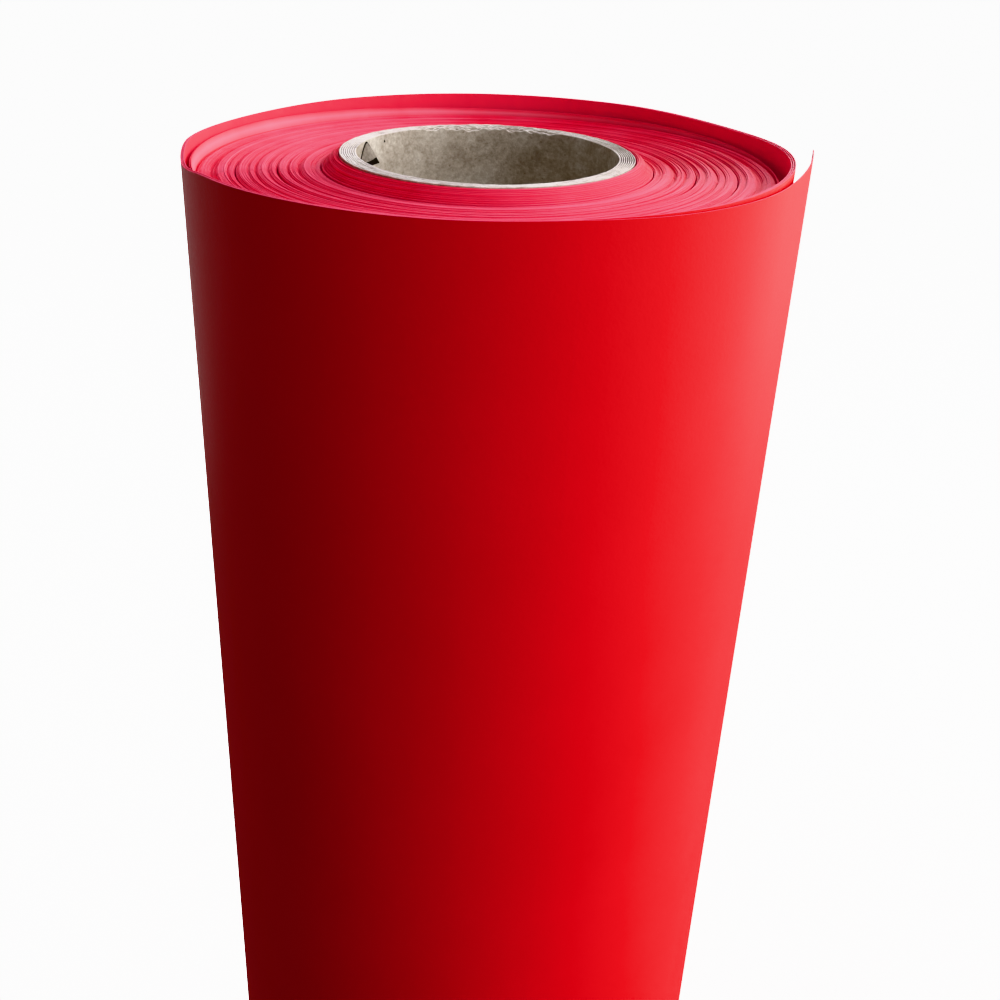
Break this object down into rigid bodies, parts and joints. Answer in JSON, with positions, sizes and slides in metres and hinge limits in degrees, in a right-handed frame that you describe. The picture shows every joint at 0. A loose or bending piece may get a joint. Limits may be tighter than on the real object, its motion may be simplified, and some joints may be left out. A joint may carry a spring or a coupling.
{
  "type": "roll of sign vinyl",
  "caption": "Wide self-adhesive red vinyl web on a release liner, wound on a spiral paper core, standing on end with its outer turns slipped and its free end sprung loose.",
  "frame": {"origin": "centre of the core's bore at the end that the roll stands on", "axes": "+Z along the core, up; +X towards the free end of the web"},
  "size_m": [0.1858, 0.1718, 0.6163],
  "materials": {
    "core_paper": "rough grey-brown chipboard",
    "tape": "matt",
    "wound_web": "slit edges of film and liner",
    "liner": "smooth, with the film's red showing through",
    "film": "satin red with a fine orange-peel grain"
  },
  "bodies": {
    "core": {"core_ply_1": "core_paper", "core_ply_2": "core_paper", "core_ply_3": "core_paper", "core_ply_4": "core_paper", "core_ply_5": "core_paper", "core_ply_6": "core_paper", "core_ply_7": "core_paper", "core_ply_8": "core_paper", "starter_tape": "tape", "core_wraps": "wound_web"},
    "inner": {"inner_wraps": "wound_web"},
    "middle": {"middle_wraps": "wound_web"},
    "outer": {"outer_wraps": "wound_web"},
    "loose": {"loose_wraps": "wound_web", "last_turn_liner": "liner", "last_turn_film": "film"},
    "tail_1": {"tail_1_liner": "liner", "tail_1_film": "film"},
    "tail_2": {"tail_2_liner": "liner", "tail_2_film": "film"},
    "tail_3": {"tail_3_liner": "liner", "tail_3_film": "film"},
    "peel_1": {"peel_1_film": "film"},
    "peel_2": {"peel_2_film": "film"}
  },
  "joints": [
    {"name": "inner_slip", "type": "slide", "parent": "core", "child": "inner", "axis": [0, 0, 1], "range_m": [0, 0.012]},
    {"name": "middle_slip", "type": "slide", "parent": "inner", "child": "middle", "axis": [0, 0, 1], "range_m": [0, 0.012]},
    {"name": "outer_slip", "type": "slide", "parent": "middle", "child": "outer", "axis": [0, 0, 1], "range_m": [0, 0.012]},
    {"name": "loose_slip", "type": "slide", "parent": "outer", "child": "loose", "axis": [0, 0, 1], "range_m": [-0.0063, 0.02]},
    {"name": "tail_lift", "type": "hinge", "parent": "loose", "child": "tail_1", "pos_m": [0.04936, -0.07023, 0.305], "axis": [0, 0, -1], "range_deg": [0, 25]},
    {"name": "tail_bend_1", "type": "hinge", "parent": "tail_1", "child": "tail_2", "pos_m": [0.08222, -0.02687, 0.305], "axis": [0, 0, -1], "range_deg": [-10, 20]},
    {"name": "tail_bend_2", "type": "hinge", "parent": "tail_2", "child": "tail_3", "pos_m": [0.09101, -0.00802, 0.305], "axis": [0, 0, -1], "range_deg": [-10, 20]},
    {"name": "film_peel_1", "type": "hinge", "parent": "tail_3", "child": "peel_1", "pos_m": [0.09318, -0.00373, 0.305], "axis": [0, 0, -1], "range_deg": [0, 60]},
    {"name": "film_peel_2", "type": "hinge", "parent": "peel_1", "child": "peel_2", "pos_m": [0.09656, 0.00352, 0.305], "axis": [0, 0, -1], "range_deg": [0, 60]}
  ],
  "couplings": [
    {"joint": "tail_bend_2", "follows": "tail_bend_1", "ratio": 1},
    {"joint": "film_peel_2", "follows": "film_peel_1", "ratio": 1}
  ]
}
